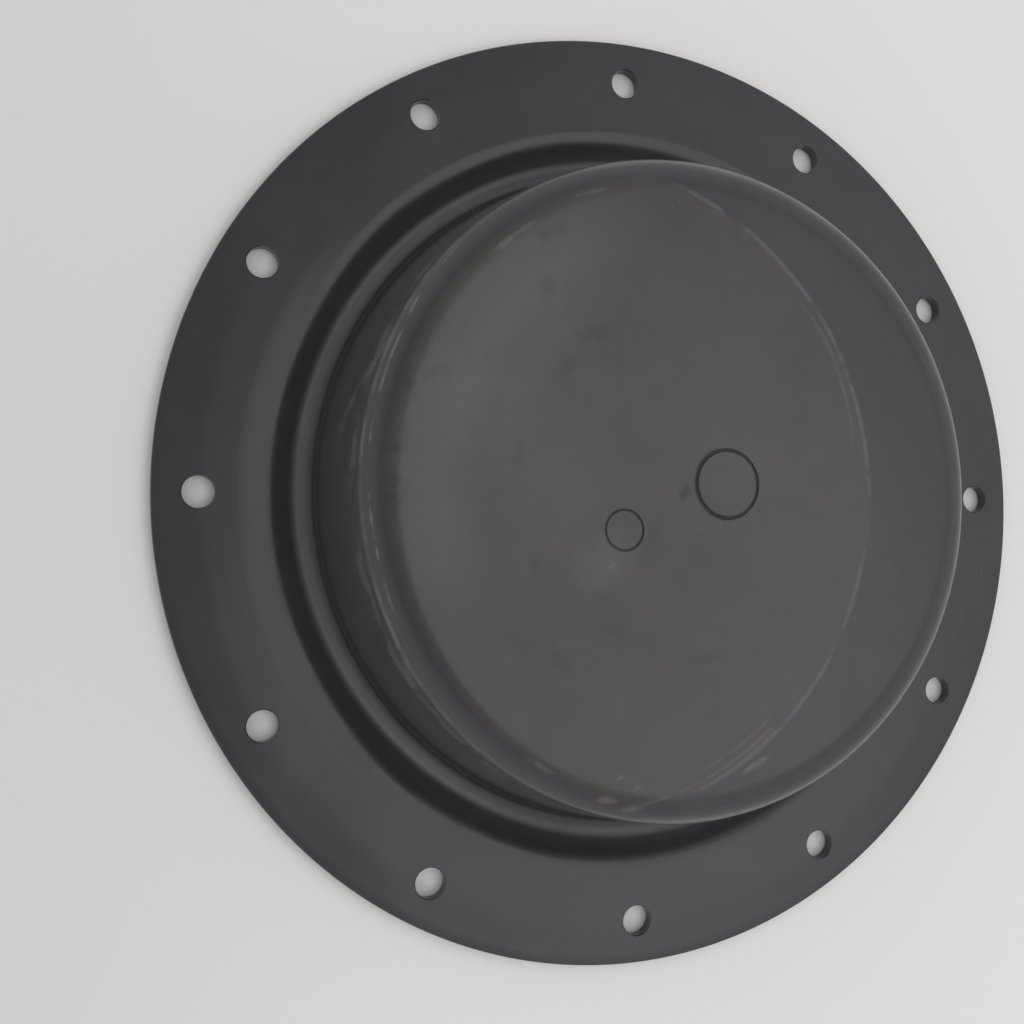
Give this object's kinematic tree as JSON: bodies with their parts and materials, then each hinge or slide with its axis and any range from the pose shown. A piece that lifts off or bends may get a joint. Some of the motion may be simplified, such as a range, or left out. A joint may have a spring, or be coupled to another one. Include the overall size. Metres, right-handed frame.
{
  "type": "regulator diaphragm",
  "caption": "Moulded rubber diaphragm with a bolted round flange, a groove round the foot of its crown and a raised, hollow, flat-topped crown that flexes to turn pressure into travel.",
  "frame": {"origin": "centre of the flange's underside", "axes": "+Z along the axis of revolution, up through the crown; one bolt hole lies on +X"},
  "size_m": [0.27, 0.27, 0.044],
  "materials": {
    "rubber": "moulded black rubber with a dull sheen, scuffed pale along the crest"
  },
  "bodies": {
    "root": {"diaphragm": "rubber"}
  },
  "joints": []
}
